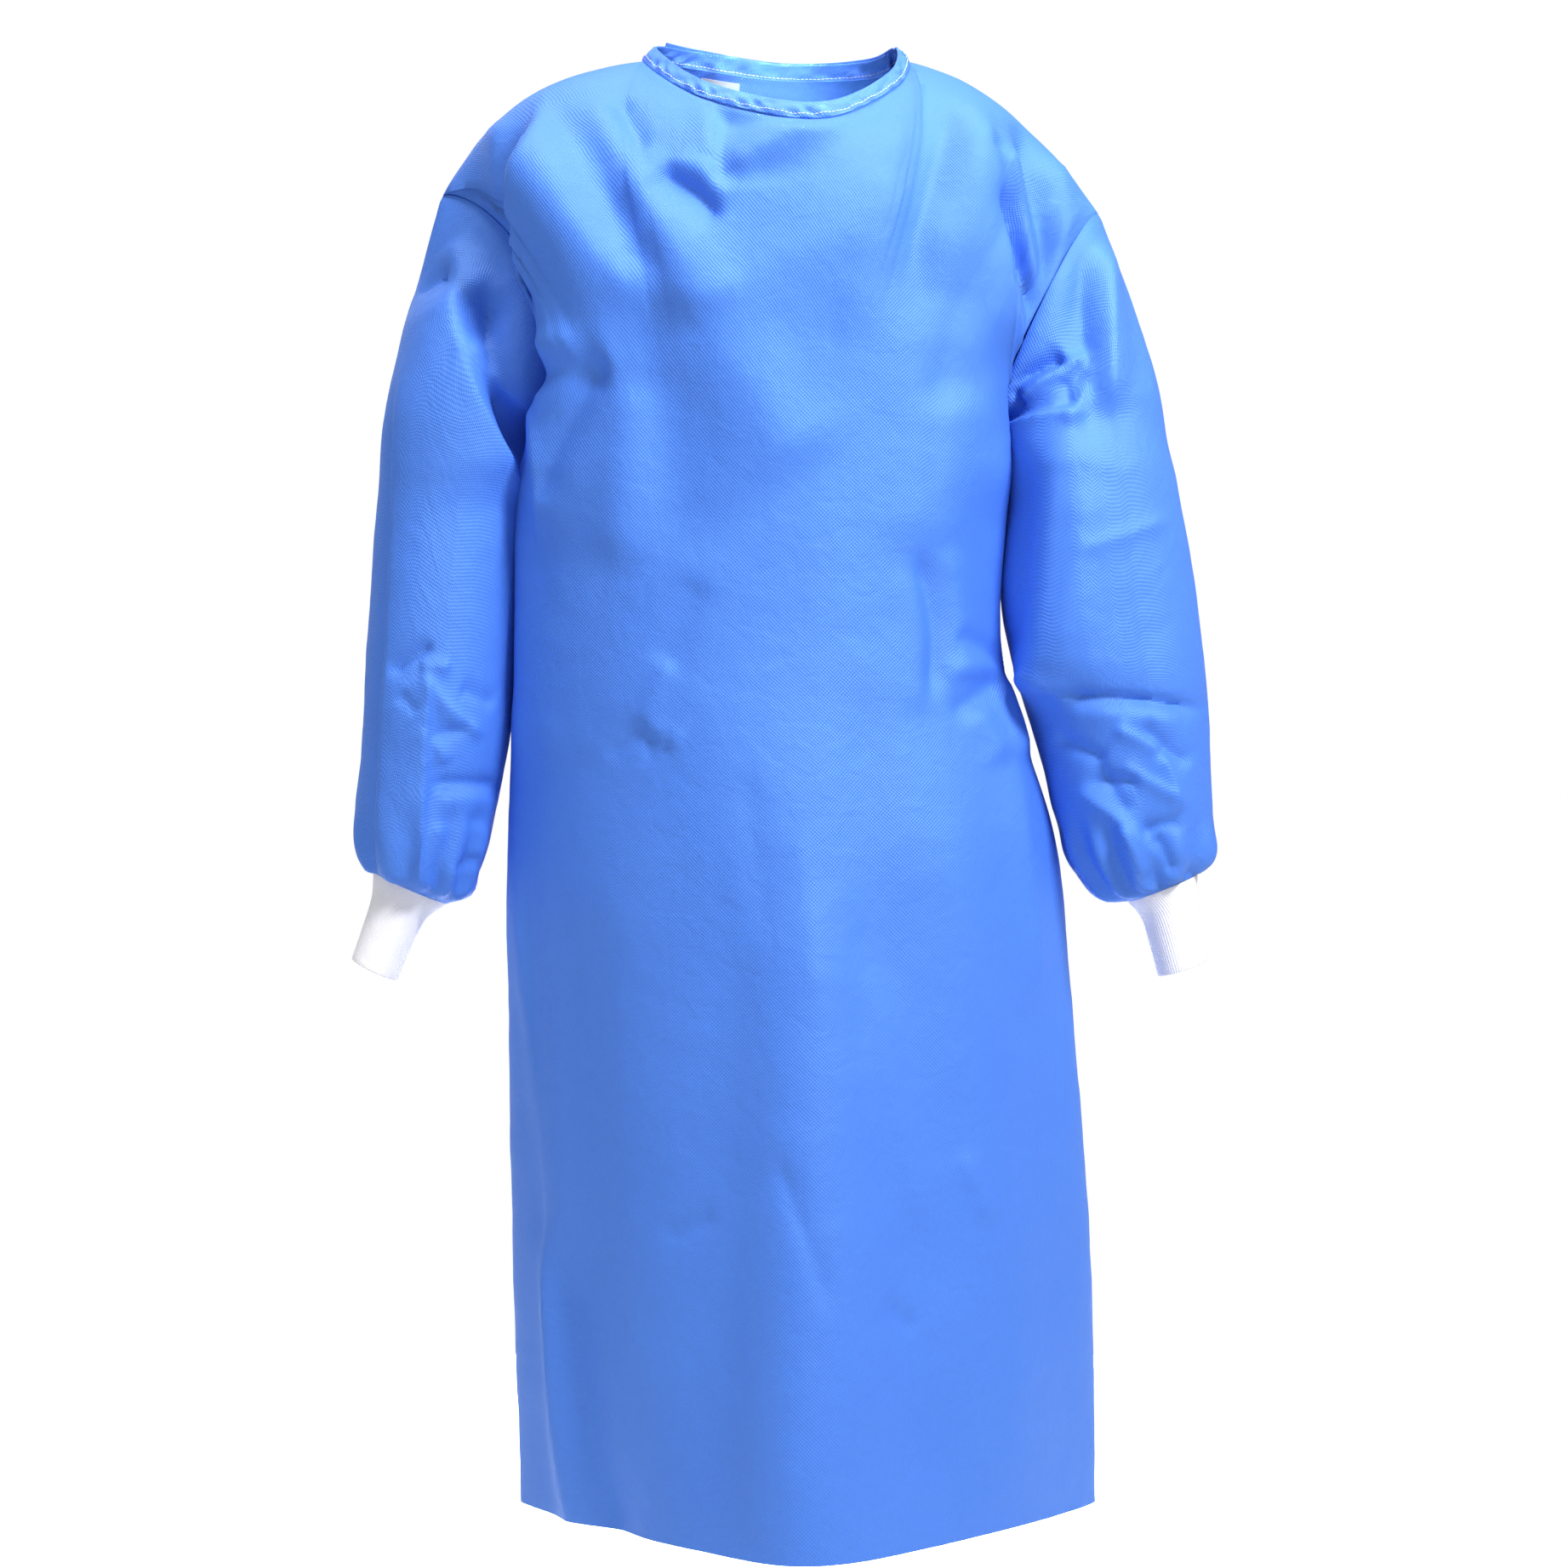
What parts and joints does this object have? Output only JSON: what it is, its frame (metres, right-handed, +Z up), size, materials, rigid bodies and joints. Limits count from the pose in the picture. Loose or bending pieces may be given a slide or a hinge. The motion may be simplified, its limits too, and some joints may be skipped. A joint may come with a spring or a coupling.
{
  "type": "surgical gown",
  "caption": "Long-sleeved surgical gown, filled out as if worn, with knitted cuffs, a bound round neck, a lapped back opening and a tie knotted behind the waist.",
  "frame": {"origin": "midway between the two neck points and level with them, where the gown rests on its wearer's shoulders", "axes": "+Z up, the front faces -Y, the wearer's left is +X"},
  "size_m": [0.6659, 0.3773, 1.1519],
  "materials": {
    "cloth": "matte",
    "knit": "matte",
    "patch": "matte"
  },
  "bodies": {
    "root": {"front": "cloth", "back_left": "cloth", "back_right": "cloth", "sleeve_left": "cloth", "sleeve_right": "cloth", "neck_binding": "cloth", "tie_left": "cloth", "tie_right": "cloth", "tie_tail_left": "cloth", "tie_tail_right": "cloth", "tie_knot": "cloth", "cuff_left": "knit", "cuff_right": "knit", "neck_patch": "patch"}
  },
  "joints": []
}
